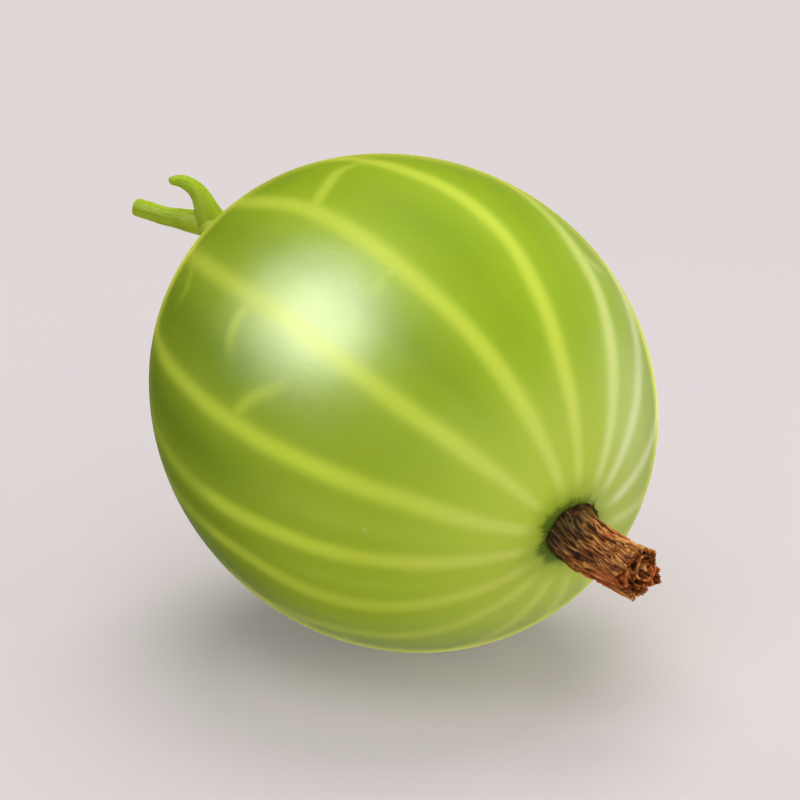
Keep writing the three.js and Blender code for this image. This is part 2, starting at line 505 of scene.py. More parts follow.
@dataclass(frozen=True)
class SkinFinish:
    """The thin glossy skin of the berry, with flesh and pale veins showing through it."""

    effects: Effects
    flesh: Colour = colour(133, 159, 14)
    # Painted shade: shaded_flesh and shaded_vein darken flesh and veins low on one side, where the deep mask
    # lies.
    shaded_flesh: Colour = colour(95, 129, 6)
    deep_flesh: Colour = colour(120, 150, 10)
    lit_flesh: Colour = colour(152, 180, 28)
    # Paler flesh on some sides, partly its own tone and partly painted light; it also carries the painted
    # light near the top.
    pale_and_lit_flesh: Colour = colour(186, 205, 68)
    # Flesh near the nose, partly its own paler tone and partly a painted glow of light passing through the
    # berry.
    nose_flesh_and_glow: Colour = colour(178, 197, 64)
    vein: Colour = colour(192, 209, 66)
    clear_vein: Colour = colour(204, 226, 64)
    shaded_vein: Colour = colour(146, 176, 34)
    nose_vein: Colour = colour(194, 208, 92)
    # Painted sheen: a pale greyish veil over veins and flesh on one side of the nose half.
    painted_sheen_vein: Colour = colour(214, 222, 158)
    speckle: Colour = colour(204, 214, 120)
    # Dark green of the ring round the flower's foot; its mask also carries painted shadow spreading out from
    # the ring.
    ring: Colour = colour(92, 116, 26)
    rim: Colour = colour(226, 230, 78)
    stem_end: Colour = colour(150, 170, 50)
    painted_sheen_flesh: Colour = colour(178, 192, 112)

    def material(self) -> bpy.types.Material:
        """Builds the material, which reads the masks that the berry's mesh keeps."""
        material, graph = new_material("gooseberry_skin")
        flesh = graph.group(
            self.effects.mottle, Colour=self.flesh, Other=self.deep_flesh, Amount=0.7, Scale=260.0
        )
        # The deep mask lays painted shade on one low side of the berry.
        flesh = graph.mix(graph.mask("deep"), flesh, self.shaded_flesh)
        flesh = graph.mix(graph.mask("pale"), flesh, self.pale_and_lit_flesh)
        flesh = graph.mix(graph.mask("glow"), flesh, self.lit_flesh)
        flesh = graph.mix(graph.mask("nose"), flesh, self.nose_flesh_and_glow)
        flesh = graph.mix(graph.math("MULTIPLY", graph.mask("milky"), 0.6), flesh, self.painted_sheen_flesh)
        vein = graph.mix(graph.mask("clear"), self.vein, self.clear_vein)
        vein = graph.mix(graph.ramp(graph.mask("deep"), 0.5, 0.9, 0.0, 0.5), vein, self.shaded_vein)
        vein = graph.mix(graph.mask("nose"), vein, self.nose_vein)
        vein = graph.mix(graph.ramp(graph.mask("milky"), 0.0, 0.6), vein, self.painted_sheen_vein)
        tone = graph.mix(graph.mask("vein"), flesh, vein)
        tone = graph.mix(self._speckles(graph), tone, self.speckle)
        tone = graph.mix(graph.mask("stem_end"), tone, self.stem_end)
        tone = graph.mix(graph.mask("ring"), tone, self.ring)
        grain = graph.group(self.effects.grain, Scale=4200.0, Dents=1.6)
        smooth = graph.ramp(graph.noise(900.0), 0.25, 0.75, 0.3, 0.34)
        dull = graph.math("MULTIPLY", graph.mask("stem_end"), 0.45)
        shine = graph.ramp(graph.mask("vein"), 0.0, 1.0, 0.37, 0.27)
        shine = graph.math("MULTIPLY", shine, graph.ramp(graph.mask("stem_end"), 0.0, 0.6, 1.0, 0.25))
        facing = graph.node("ShaderNodeLayerWeight", {"Blend": 0.5}).outputs["Facing"]
        # The sheen at the rim is weaker where the deep mask lays painted shade.
        lit_edge = graph.ramp(graph.mask("deep"), 0.1, 0.7, 1.0, 0.1)
        rim = graph.math("MULTIPLY", graph.ramp(facing, 0.8, 0.88), lit_edge)
        finish_surface(
            graph,
            {
                "Base Color": tone,
                "Roughness": graph.math("ADD", smooth, dull),
                "Specular IOR Level": shine,
                "Sheen Weight": rim,
                "Sheen Roughness": 0.3,
                "Sheen Tint": self.rim,
                "Subsurface Weight": 0.35,
                "Subsurface Radius": (1.0, 1.2, 0.3),
                "Subsurface Scale": 0.0012,
                "Normal": graph.bump(grain, 0.000003),
            },
        )
        return material

    @staticmethod
    def _speckles(graph: Graph) -> bpy.types.NodeSocket:
        """Returns the mask of a few tiny pale rings, the skin's pores."""
        cells = graph.node("ShaderNodeTexVoronoi", {"Vector": graph.place(), "Scale": 420.0})
        edge = graph.ramp(cells.outputs["Distance"], 0.075, 0.045)
        hollow = graph.ramp(cells.outputs["Distance"], 0.01, 0.04, 0.3, 1.0)
        pick = graph.node("ShaderNodeSeparateColor", {0: cells.outputs["Color"]}).outputs[0]
        few = graph.ramp(pick, 0.7, 0.74, 0.0, 0.35)
        return graph.math("MULTIPLY", graph.math("MULTIPLY", edge, hollow), few)


@dataclass(frozen=True)
class WitheredFinish:
    """Dry fibrous tissue: tan ridges over dark crevices, partly its own colour and partly painted light and
    shade, olive where it is still half green.
    """

    effects: Effects
    shaded_crevice: Colour = colour(44, 20, 9)
    brown: Colour = colour(148, 86, 38)
    tan: Colour = colour(220, 158, 86)
    russet: Colour = colour(196, 80, 44)
    dark_russet: Colour = colour(88, 26, 14)
    olive: Colour = colour(82, 68, 34)
    dark_olive: Colour = colour(43, 37, 18)
    name: str = "withered_flower"

    def material(self) -> bpy.types.Material:
        """Builds the material, which reads the masks shade, russet and olive."""
        material, graph = new_material(self.name)
        shade = graph.mask("shade")
        fine = graph.noise(9000.0, 3.0)
        shade = graph.math("ADD", shade, graph.math("MULTIPLY", graph.math("SUBTRACT", fine, 0.5), 0.35))
        tone = graph.mix(graph.ramp(shade, 0.08, 0.5), self.shaded_crevice, self.brown)
        tone = graph.mix(graph.ramp(shade, 0.55, 0.95), tone, self.tan)
        tone = graph.group(self.effects.mottle, Colour=tone, Other=self.brown, Amount=0.35, Scale=1500.0)
        russet = graph.mix(graph.ramp(shade, 0.15, 0.8), self.dark_russet, self.russet)
        tone = graph.mix(graph.mask("russet"), tone, russet)
        olive = graph.mix(graph.ramp(shade, 0.15, 0.8), self.dark_olive, self.olive)
        tone = graph.mix(graph.mask("olive"), tone, olive)
        grain = graph.group(self.effects.grain, Scale=9000.0, Dents=1.0)
        finish_surface(
            graph,
            {
                "Base Color": tone,
                "Roughness": graph.ramp(shade, 0.0, 1.0, 0.9, 0.66),
                "Specular IOR Level": 0.06,
                "Normal": graph.bump(grain, 0.00002),
            },
        )
        return material


@dataclass(frozen=True)
class GreenFinish:
    """Fresh green tissue of the stem or the bract, streaked along its length with painted shade in the
    grooves between its ridges.
    """

    name: str
    effects: Effects
    green: Colour
    shaded: Colour
    tip: Colour
    pith: Colour = colour(206, 208, 140)

    def material(self) -> bpy.types.Material:
        """Builds the material, which reads the masks streak, tip and cut."""
        material, graph = new_material(self.name)
        tone = graph.group(self.effects.mottle, Colour=self.green, Other=self.shaded, Amount=0.5, Scale=900.0)
        # The streak mask lays painted shade in the grooves between the ridges.
        tone = graph.mix(graph.mask("streak"), tone, self.shaded)
        tone = graph.mix(graph.mask("tip"), tone, self.tip)
        tone = graph.mix(graph.mask("cut"), tone, self.pith)
        grain = graph.group(self.effects.grain, Scale=7000.0, Dents=1.0)
        finish_surface(
            graph,
            {
                "Base Color": tone,
                "Roughness": graph.ramp(graph.noise(1500.0), 0.3, 0.7, 0.5, 0.62),
                "Specular IOR Level": 0.07,
                "Subsurface Weight": 0.3,
                "Subsurface Radius": (1.0, 1.1, 0.3),
                "Subsurface Scale": 0.0006,
                "Normal": graph.bump(grain, 0.000004),
            },
        )
        return material


@dataclass(frozen=True)
class HairFinish:
    """The short green hairs round the foot of the withered flower."""

    dark: Colour = colour(98, 128, 28)
    pale: Colour = colour(158, 190, 66)

    def material(self) -> bpy.types.Material:
        """Builds the material, which reads the mask shade."""
        material, graph = new_material("calyx_hairs")
        tone = graph.mix(graph.ramp(graph.mask("shade"), 0.1, 0.95), self.dark, self.pale)
        finish_surface(graph, {"Base Color": tone, "Roughness": 0.7, "Specular IOR Level": 0.1})
        return material


# ---- The berry's form ----

BERRY_LENGTH, BERRY_DIAMETER = 24.7, 22  # without the flower and the stem
NOD = math.radians(14)  # how far the nose points down
FULLNESS = 0.03  # how much fuller the nose half is than the stem half
OUTLINE_STEPS = 2000  # places looked at to find how far the outline reaches


@dataclass(frozen=True)
class BerryForm:
    """The berry's outline turned about its nodding axis, with a dimple at each end."""

    centre: np.ndarray
    half_diameter: float
    half_length: float
    nod: float
    fullness: float
    nose_dimple: tuple[float, float] = (0.3, 1.9)  # depth and width
    stem_dimple: tuple[float, float] = (0.35, 1.4)

    @classmethod
    def from_frame(cls) -> "BerryForm":
        """Fits the form to the CAD berry's box."""
        lowest, highest = (np.array(corner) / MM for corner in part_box("berry"))
        half_diameter = (highest[1] - lowest[1]) / 2
        half_length = half_diameter * BERRY_LENGTH / BERRY_DIAMETER
        form = cls(np.zeros(3), half_diameter, half_length, NOD, FULLNESS)
        upper = form.place(np.linspace(0, math.pi, OUTLINE_STEPS), np.zeros(OUTLINE_STEPS))
        centre = np.array([highest[0] - upper[:, 0].max(), 0.0, highest[2] - upper[:, 2].max()])
        return replace(form, centre=centre)

    @property
    def spot(self) -> float:
        """How far along X the berry touches the floor."""
        under = self.place(np.linspace(0, math.pi, OUTLINE_STEPS), np.full(OUTLINE_STEPS, math.pi))
        return float(under[under[:, 2].argmin(), 0])

    @property
    def axis(self) -> np.ndarray:
        """The direction from the stem end to the nose."""
        return np.array([math.cos(self.nod), 0.0, -math.sin(self.nod)])

    @property
    def top(self) -> np.ndarray:
        """The direction of turn 0, across the axis."""
        return np.array([math.sin(self.nod), 0.0, math.cos(self.nod)])

    def outline(self, angle: np.ndarray) -> tuple[np.ndarray, np.ndarray]:
        """Returns the radius and the place along the axis at an angle from the nose."""
        radius = self.half_diameter * np.sin(angle) * (1 + self.fullness * np.cos(angle))
        nose = -self.nose_dimple[0] * np.exp(-((radius / self.nose_dimple[1]) ** 2))
        stem = self.stem_dimple[0] * np.exp(-((radius / self.stem_dimple[1]) ** 2))
        return radius, self.half_length * np.cos(angle) + np.where(angle < math.pi / 2, nose, stem)

    def place(self, angle: np.ndarray, turn: np.ndarray) -> np.ndarray:
        """Returns places on the skin, a row each, from angles and turns in radians."""
        radius, along = self.outline(angle)
        spoke = np.cos(turn)[:, None] * self.top + np.sin(turn)[:, None] * np.array([0.0, 1.0, 0.0])
        return self.centre + along[:, None] * self.axis + radius[:, None] * spoke

    def outward(self, angle: np.ndarray, turn: np.ndarray) -> np.ndarray:
        """Returns the directions out of the skin there."""
        step = 0.004
        down = self.place(angle + step, turn) - self.place(angle - step, turn)
        round_ = self.place(angle, turn + step) - self.place(angle, turn - step)
        return unit(np.cross(round_, down))


# ---- Berry ----

VEIN_SAMPLES, BRANCH_SAMPLES = 420, 90  # places traced along a vein


@dataclass(frozen=True)
class Vein:
    """One vein under the skin, through (angle from the nose, turn) in degrees."""

    course: tuple[tuple[float, float], ...]
    strength: float = 1.0
    width: float = 0.42  # half its width, where it is half as strong
    branch: bool = False

    def samples(self, form: BerryForm, wander: Noise) -> tuple[np.ndarray, np.ndarray, np.ndarray]:
        """Follows the vein over the skin.

        Args:
            form: the berry.
            wander: what bends it a little.

        Returns:
            Its places, and its width and strength at each.
        """
        count = BRANCH_SAMPLES if self.branch else VEIN_SAMPLES
        angle, turn = np.radians(smooth_course(self.course, count)).T
        seed = self.course[0][1] * 0.37
        drift = wander.at(np.stack([angle * 3.2, np.full(count, seed), np.full(count, 0.5)], axis=1), 2)
        turn = turn + 0.012 * drift
        share = np.linspace(0, 1, count)
        radius, _ = form.outline(angle)
        if self.branch:
            strength = self.strength * smooth_step(share, 1.0, 0.35)
            return form.place(angle, turn), np.full(count, self.width), strength
        pulse = 1 + 0.14 * wander.at(np.stack([angle * 5, np.full(count, seed), np.full(count, 9.5)], axis=1))
        width = self.width * pulse * (0.5 + 0.5 * smooth_step(radius, 1.5, 8.0))
        ends = smooth_step(radius, 1.8, 3.2)
        return form.place(angle, turn), width, self.strength * ends


MAIN_VEINS = (
    Vein(((6, 46), (60, 46), (120, 44), (173, 46)), 0.75),
    Vein(((6, 27), (60, 28), (110, 27), (173, 27)), 0.9),
    Vein(((6, 1), (40, 2), (75, 5), (112, 0), (173, 0))),
    Vein(((6, -20), (50, -22), (100, -26), (130, -30), (173, -28))),
    Vein(((6, -50), (60, -51), (100, -52), (130, -54), (173, -54))),
    Vein(((6, -76), (50, -77), (100, -80), (130, -82), (173, -80))),
    Vein(((6, -100), (60, -100), (110, -103), (173, -104))),
    Vein(((6, -124), (50, -121), (85, -113), (120, -118), (173, -124)), 0.9),
    Vein(((6, -146), (45, -141), (75, -134), (120, -140), (173, -146)), 0.8),
    Vein(((6, -169), (60, -166), (120, -164), (173, -168)), 0.85),
    Vein(((6, 167), (50, 169), (110, 165), (173, 168)), 0.9),
    Vein(((6, 145), (60, 144), (120, 148), (173, 146))),
    Vein(((6, 121), (50, 119), (110, 122), (173, 122))),
    Vein(((6, 96), (60, 98), (120, 95), (173, 98)), 0.9),
    Vein(((6, 71), (60, 72), (110, 69), (173, 71)), 0.85),
)

BRANCH_VEINS = (
    Vein(((87, -78), (84, -71), (79, -65), (77, -60)), 0.75, 0.28, branch=True),
    Vein(((97, -52), (98, -58), (96, -64), (91, -69)), 0.8, 0.28, branch=True),
    Vein(((104, -26), (109, -17), (113, -8), (110, -1), (100, 4)), 0.95, 0.30, branch=True),
    Vein(((78, -25), (76, -31), (74, -37)), 0.35, 0.25, branch=True),
    Vein(((70, 27), (66, 34), (68, 42)), 0.6, 0.28, branch=True),
    Vein(((118, 46), (108, 55), (104, 66)), 0.7, 0.28, branch=True),
    Vein(((80, 97), (87, 90), (91, 82), (92, 74)), 0.6, 0.28, branch=True),
    Vein(((102, 121), (110, 114), (114, 106), (114, 99)), 0.6, 0.28, branch=True),
    Vein(((66, 145), (73, 139), (78, 131), (79, 123)), 0.55, 0.27, branch=True),
    Vein(((98, 167), (91, 161), (88, 154), (84, 148)), 0.6, 0.28, branch=True),
    Vein(((118, -165), (111, -172), (108, -181), (102, -189)), 0.55, 0.27, branch=True),
    Vein(((62, -141), (70, -150), (68, -158)), 0.55, 0.28, branch=True),
    Vein(((122, -104), (116, -111), (112, -116)), 0.6, 0.28, branch=True),
    Vein(((132, 96), (124, 86), (126, 76)), 0.6, 0.28, branch=True),
    Vein(((128, -54), (122, -62), (124, -72)), 0.5, 0.25, branch=True),
)


@dataclass
class Berry:
    """The whole berry: one closed skin with its veins, the ring at its nose and its stem end."""

    form: BerryForm
    finish: SkinFinish
    rows: int = 268
    columns: int = 360
    unevenness: float = 0.07
    spot_edge: float = 0.03  # softness of the edge of the flat spot
    ring_radius: float = 1.44
    glow_width: float = 1.5
    paleness_and_light: tuple[tuple[float, float], ...] = (  # turn in degrees and how pale the flesh is there, partly its own tone and partly painted light
        (-180, 0.58), (-135, 0.85), (-111, 1.0), (-90, 0.85), (-64, 0.35), (-36, 0.0), (-9, 0.12), (16, 0.2),
        (36, 0.35), (60, 0.55), (90, 0.3), (120, 0.55), (150, 0.3), (180, 0.58),
    )
    noise: Noise = field(default_factory=lambda: Noise(41))

    def build(self) -> None:
        """Makes the berry and ties it to the frame."""
        angle, turn = self._grid()
        vertices = self._skin(angle, turn)
        inner = (self.rows - 1) * self.columns
        faces = grid_faces(self.rows - 1, self.columns, around=True)
        faces += fan_faces(inner, 0, self.columns, flipped=True)
        faces += fan_faces(inner + 1, inner - self.columns, self.columns)
        masks = self._masks(vertices, angle, turn)
        skin = mesh_object("gooseberry_skin", vertices, faces, self.finish.material(), masks)
        attach(skin, "berry")

    def _grid(self) -> tuple[np.ndarray, np.ndarray]:
        """Returns the angle and turn of every vertex: rings from nose to stem end, then the two poles."""
        rings = np.linspace(0, math.pi, self.rows + 1)[1:-1]
        turns = np.linspace(0, 2 * math.pi, self.columns, endpoint=False)
        angle, turn = np.meshgrid(rings, turns, indexing="ij")
        return np.append(angle, [0.0, math.pi]), np.append(turn, [0.0, 0.0])

    def _skin(self, angle: np.ndarray, turn: np.ndarray) -> np.ndarray:
        """Returns the places of the skin, pressed in a little here and there and flat where it rests."""
        smooth = self.form.place(angle, turn)
        dents = 0.5 * (1 + self.noise.at(smooth / 9.0, 2)) * np.sin(angle)
        vertices = smooth - self.unevenness * dents[:, None] * self.form.outward(angle + 1e-4, turn)
        height = vertices[:, 2]
        vertices[:, 2] = 0.5 * (height + np.sqrt(height**2 + self.spot_edge**2))
        return vertices

    def _masks(self, vertices: np.ndarray, angle: np.ndarray, turn: np.ndarray) -> Masks:
        """Works out where each colour of the skin shows."""
        core, glow = self._traced(vertices, MAIN_VEINS)
        branch, branch_glow = self._traced(vertices, BRANCH_VEINS)
        radius, _ = self.form.outline(angle)
        nose_half = angle < math.pi / 2
        spokes = np.stack([np.cos(turn) * 5.5, np.sin(turn) * 5.5, radius * 0.6], axis=1)
        ragged = radius + 0.3 * self.noise.at(spokes) + 0.14 * self.noise.at(spokes * 4.1)
        degrees = centred(np.degrees(turn), 360)
        # The ring is partly the skin's own dark green; shadow is painted shadow spreading out round the
        # flower's foot, both stronger on one side.
        side = (0.45 + 0.55 * bell(degrees, -68, 54)) * nose_half
        ring = smooth_step(ragged, self.ring_radius + 0.5, self.ring_radius - 0.1) * side
        shadow = smooth_step(ragged, self.ring_radius + 1.6, self.ring_radius + 0.2) * side
        stem_end = smooth_step(radius, 3.4, 0.8) * ~nose_half
        # The flesh of the nose half is paler on some sides, partly its own tone and partly painted light;
        # lit_top is painted light near the top of the stem half.
        turns, levels = np.array(self.paleness_and_light).T
        pale = np.interp(degrees, turns, levels)
        lit_top = bell(np.degrees(angle), 112, 18) * bell(degrees, 8, 26)
        # A painted sheen: a pale veil on one side of the nose half, standing in for a reflection.
        milky = 0.68 * bell(degrees, 62, 26) * smooth_step(angle, math.radians(112), math.radians(58))
        # deep is painted shade: the flesh low on one side is painted darker.
        deep = 0.9 * smooth_step(angle, math.radians(74), math.radians(98)) * bell(degrees, -106, 25)
        clear = bell(degrees, -88, 20) * smooth_step(angle, math.radians(44), math.radians(68))
        return {
            "clear": clear,
            "vein": np.maximum(core, 0.85 * branch),
            "glow": np.clip(0.9 * glow + 0.3 * branch_glow, 0, 1) * (1 - 0.6 * shadow),
            # The flesh pales towards the nose, partly its own tone and partly a painted glow of light passing
            # through the berry.
            "nose": smooth_step(angle, math.radians(52), math.radians(14)) * (1 - 0.35 * shadow),
            "pale": np.maximum(pale * smooth_step(angle, math.radians(91), math.radians(57)), 0.4 * lit_top),
            "deep": deep,
            "milky": milky,
            "ring": np.clip(ring + 0.26 * shadow, 0, 1),
            "stem_end": 0.7 * stem_end,
        }

    def _traced(self, vertices: np.ndarray, veins: Sequence[Vein]) -> tuple[np.ndarray, np.ndarray]:
        """Finds how near each vertex is to a vein.

        Args:
            vertices: the skin's places.
            veins: the veins to trace.

        Returns:
            The strength of the vein's core and of the glow about it, at each vertex.
        """
        places, width, strength = (np.concatenate(part) for part in zip(
            *(vein.samples(self.form, self.noise) for vein in veins), strict=True
        ))
        nearest, distance = nearest_places(vertices, places)
        core = strength[nearest] * np.exp(-0.69 * (distance / width[nearest]) ** 2.6)
        glow = strength[nearest] * np.exp(-0.5 * (distance / self.glow_width) ** 2)
        return core, glow


# ---- Strands ----


@dataclass(frozen=True)
class Strands:
    """Thin bowed strands that grow from given roots. Each has a few dozen faces."""

    name: str
    width: tuple[float, float]  # thinnest and thickest, in millimetres
    length: tuple[float, float]
    bow: float  # how far the middle stands out, as a share of the length
    spindle: float  # 1 tapers both ends, 0 only the tip
    seed: int
    flatness: float = 1.0  # thickness as a share of the width

    def _tree(self) -> bpy.types.NodeTree:
        """Builds the node tree that sets a strand on each root."""
        tree = bpy.data.node_groups.new(self.name, "GeometryNodeTree")
        for label, kind in (
            ("Roots", "Geometry"), ("Thinnest", "Vector"), ("Thickest", "Vector"), ("Bow", "Float"),
            ("Spindle", "Float"), ("Seed", "Int"), ("Material", "Material"),
        ):
            tree.interface.new_socket(label, in_out="INPUT", socket_type="NodeSocket" + kind)
        tree.interface.new_socket("Strands", in_out="OUTPUT", socket_type="NodeSocketGeometry")
        graph = Graph(tree)
        given = graph.node("NodeGroupInput").outputs
        middle = graph.node("ShaderNodeCombineXYZ", {"X": given["Bow"], "Z": 0.5}).outputs[0]
        line = graph.node(
            "GeometryNodeCurveQuadraticBezier",
            {"Resolution": 6, "Start": (0, 0, 0), "Middle": middle, "End": (0, 0, 1)},
        ).outputs[0]
        share = graph.node("GeometryNodeSplineParameter").outputs["Factor"]
        rest = graph.math("SUBTRACT", 1.0, share)
        both = graph.math("MULTIPLY", graph.math("MULTIPLY", share, rest), 4.0)
        spindled = graph.math("MULTIPLY", both, given["Spindle"])
        pointed = graph.math("MULTIPLY", rest, graph.math("SUBTRACT", 1.0, given["Spindle"]))
        girth = graph.math("MAXIMUM", graph.math("ADD", spindled, pointed), 0.06)
        ring = graph.node("GeometryNodeCurvePrimitiveCircle", {"Resolution": 5, "Radius": 0.5}).outputs[0]
        strand = graph.node(
            "GeometryNodeCurveToMesh",
            {"Curve": line, "Profile Curve": ring, "Scale": girth, "Fill Caps": True},
        ).outputs[0]
        aim, outward = (
            graph.node("GeometryNodeInputNamedAttribute", {"Name": name}, data_type="FLOAT_VECTOR").outputs[0]
            for name in ("aim", "outward")
        )
        rotation = graph.node(
            "FunctionNodeAxesToRotation",
            {"Primary Axis": aim, "Secondary Axis": outward},
            primary_axis="Z", secondary_axis="X",
        ).outputs[0]
        size = graph.node("FunctionNodeRandomValue", data_type="FLOAT_VECTOR")
        for number, source in ((0, "Thinnest"), (1, "Thickest"), (8, "Seed")):
            tree.links.new(given[source], size.inputs[number])
        placed = graph.node(
            "GeometryNodeInstanceOnPoints",
            {"Points": given["Roots"], "Instance": strand, "Rotation": rotation, "Scale": size.outputs[0]},
        ).outputs[0]
        next_seed = graph.math("ADD", given["Seed"], 1.0)
        tone = graph.node("FunctionNodeRandomValue", {8: next_seed}, data_type="FLOAT")
        stored = graph.node("GeometryNodeStoreNamedAttribute", data_type="FLOAT", domain="INSTANCE")
        stored.inputs["Name"].default_value = "shade"
        tree.links.new(placed, stored.inputs["Geometry"])
        tree.links.new(tone.outputs[1], stored.inputs["Value"])
        real = graph.node("GeometryNodeRealizeInstances", {"Geometry": stored.outputs[0]}).outputs[0]
        soft = graph.node("GeometryNodeSetShadeSmooth", {"Geometry": real}).outputs[0]
        dressing = {"Geometry": soft, "Material": given["Material"]}
        dressed = graph.node("GeometryNodeSetMaterial", dressing).outputs[0]
        graph.node("NodeGroupOutput", {0: dressed})
        return tree

    def grow(
        self, roots: np.ndarray, aims: np.ndarray, outwards: np.ndarray, material: bpy.types.Material
    ) -> bpy.types.Object:
        """Grows one strand from each root.

        Args:
            roots: where they start, in millimetres.
            aims: which way each grows.
            outwards: which way each bows.
            material: what they are dressed in.

        Returns:
            All of them as one mesh object.
        """
        made = mesh_object(self.name, roots, [], None, {"aim": aims, "outward": outwards})
        modifier = made.modifiers.new("Strands", "NODES")
        tree = self._tree()
        modifier.node_group = tree
        sizes = [
            Vector((width * self.flatness, width, length)) * MM
            for width, length in zip(self.width, self.length, strict=True)
        ]
        values = {
            "Thinnest": sizes[0], "Thickest": sizes[1], "Bow": self.bow,
            "Spindle": self.spindle, "Seed": self.seed, "Material": material,
        }
        for item in tree.interface.items_tree:
            if item.name in values:
                modifier[item.identifier] = values[item.name]
        mesh = evaluated_mesh(made)
        made.modifiers.clear()
        made.data = mesh
        mesh.name = self.name
        return made


# ---- Withered flower ----


@dataclass
class WitheredFlower:
    """The dried flower at the nose: a furrowed fibrous tube whose torn mouth curls into a scroll.

    A place on it is given by its distance from the foot and its turn about the flower's own line.
    """

    form: BerryForm
    finish: WitheredFinish
    sepal_finish: WitheredFinish
    length: float = 5.3
    gap: float = 0.2  # from the skin to where its length is counted from
    sunk: float = 0.45  # how far it reaches into the nose below that
    spare: float = 0.6  # how far its line runs on past its length, for torn ends that reach further
    lift: float = 0.62  # how far its mouth rises out of the berry's axis
    wall: float = 0.16
    hollow: float = 1.5
    line_steps: int = 160
    columns: int = 350
    rows: int = 170
    inner_rows: int = 34
    scroll_grid: tuple[int, int] = (250, 34)  # samples along the curl and down its depth
    scroll_thickness: float = 0.07
    scrap_grid: tuple[int, int] = (22, 12)
    scrap_thickness: float = 0.06
    slant: float = 0.1  # how far the fibres turn in a millimetre
    fibres: int = 130
    sepals: int = 26
    noise: Noise = field(default_factory=lambda: Noise(7))
    rim: tuple[tuple[float, float], ...] = (  # turn in degrees and length of the torn edge
        (-180, 4.2), (-162, 4.4), (-148, 4.95), (-134, 5.32), (-122, 4.9), (-108, 4.5), (-89, 4.25),
        (-76, 4.62), (-60, 4.9), (-20, 5.0), (20, 5.02), (46, 4.9), (70, 4.5), (92, 4.82),
        (116, 4.95), (138, 4.4), (160, 4.5), (180, 4.2),
    )
    long_ridges: tuple[tuple[float, float, float, float], ...] = (  # turn in degrees, start, end, height
        (4, 0.5, 4.4, 1.0), (15, 0.8, 3.3, -1.0), (25, 0.7, 4.7, 0.9), (36, 2.0, 4.4, -0.8),
        (-131, 1.0, 4.9, 0.9), (-121, 1.9, 4.0, -0.9), (-111, 2.6, 3.8, 0.9), (-64, 0.9, 2.0, 0.8),
        (-84, 1.5, 2.6, -0.8), (74, 0.8, 3.9, 0.9), (90, 1.4, 4.2, -0.9), (121, 0.6, 3.6, 0.8),
        (150, 1.2, 4.0, -0.8), (172, 0.7, 4.0, 0.9), (-7, 0.4, 2.6, 0.9), (-15, 1.2, 3.2, -0.9),
        (44, 0.3, 3.0, 1.0), (31, 0.3, 2.2, -0.9), (10, 2.4, 4.8, -0.8), (-29, 2.2, 4.0, 0.8),
    )

    def __post_init__(self) -> None:
        """Lays out the flower's line."""
        foot = self.form.half_length - self.form.nose_dimple[0] + self.gap
        start = self.form.centre + foot * self.form.axis
        tip = start + self.length * self.form.axis + np.array([0, 0, self.lift])
        bend = start + self.length / 2 * self.form.axis
        t = np.linspace(0, 1, self.line_steps)[:, None]
        line = (1 - t) ** 2 * start + 2 * t * (1 - t) * bend + t**2 * tip
        beyond = tip + self.spare * (tip - bend) / np.linalg.norm(tip - bend)
        line = np.vstack([start - self.sunk * self.form.axis, line, beyond])
        self._line = Tube(line, np.ones(len(line)))
        reach = np.linspace(0, self.length, self.line_steps)
        self._reach = np.concatenate([[-self.sunk], reach, [self.length + self.spare]])

    def _place(self, along: np.ndarray, turn: np.ndarray, radius: np.ndarray) -> np.ndarray:
        """Returns places from their distance along, turn and distance out; the three have one shape."""
        _, up, across = self._line.directions()
        place, up, across = (
            np.stack([np.interp(along, self._reach, part[:, k]) for k in range(3)], axis=-1)
            for part in (self._line.line, up, across)
        )
        return place + radius[..., None] * (up * np.cos(turn)[..., None] + across * np.sin(turn)[..., None])

    def _relief(
        self, along: np.ndarray, turn: np.ndarray, seed: float = 0.0
    ) -> tuple[np.ndarray, np.ndarray]:
        """Works out the fibres of dry tissue.

        Args:
            along: distance from the foot.
            turn: turn about the line.
            seed: shifts the pattern.

        Returns:
            How far the surface stands out, in millimetres, and how light its colour is, from 0 to 1; the
            colour follows the relief, so it carries painted light and shade.
        """
        shape = along.shape
        along, turn = along.ravel(), turn.ravel()
        bends = self.noise.at(np.stack([np.cos(turn) * 1.6, np.sin(turn) * 1.6, along * 0.9 + seed], axis=1))
        ridge = np.zeros(len(turn))
        for place, start, end, tall in self.long_ridges:
            off = centred(turn + 0.07 * bends - math.radians(place))
            ends = smooth_step(along, start - 0.3, start + 0.3) * smooth_step(along, end + 0.3, end - 0.3)
            ridge = ridge + tall * bell(off, 0.0, 0.05) * ends
        turn = turn + self.slant * along + 0.16 * bends

        def around(fineness: float, length: float, shift: float) -> np.ndarray:
            """Reads noise in cells this fine around and this long along the flower."""
            places = [np.cos(turn) * fineness, np.sin(turn) * fineness, along / length + shift + seed]
            return self.noise.at(np.stack(places, axis=1))

        crest = np.clip(1 - np.abs(around(10.0, 0.9, 0.0)) * 4.0, 0, 1)
        cells = around(16.0, 0.4, 5.0) + 0.45 * around(28.0, 0.26, 29.0)
        fleck, pit = smooth_step(cells, 0.16, 0.46), smooth_step(cells, -0.1, -0.4)
        streak = around(27.0, 0.7, 23.0)
        furrow = around(2.2, 2.4, 11.0)
        collar = bell(along, 3.7, 0.6) * bell(centred(turn + 1.55), 0.0, 0.75)
        rough = (1 - 0.8 * collar) * (1 - 0.35 * smooth_step(along, 1.3, 0.4))
        rough = rough * (1 - 0.6 * np.clip(abs(ridge), 0, 1))
        height = rough * (0.06 * crest + 0.055 * fleck - 0.075 * pit)
        height = height + 0.02 * streak + 0.12 * furrow + 0.055 * ridge
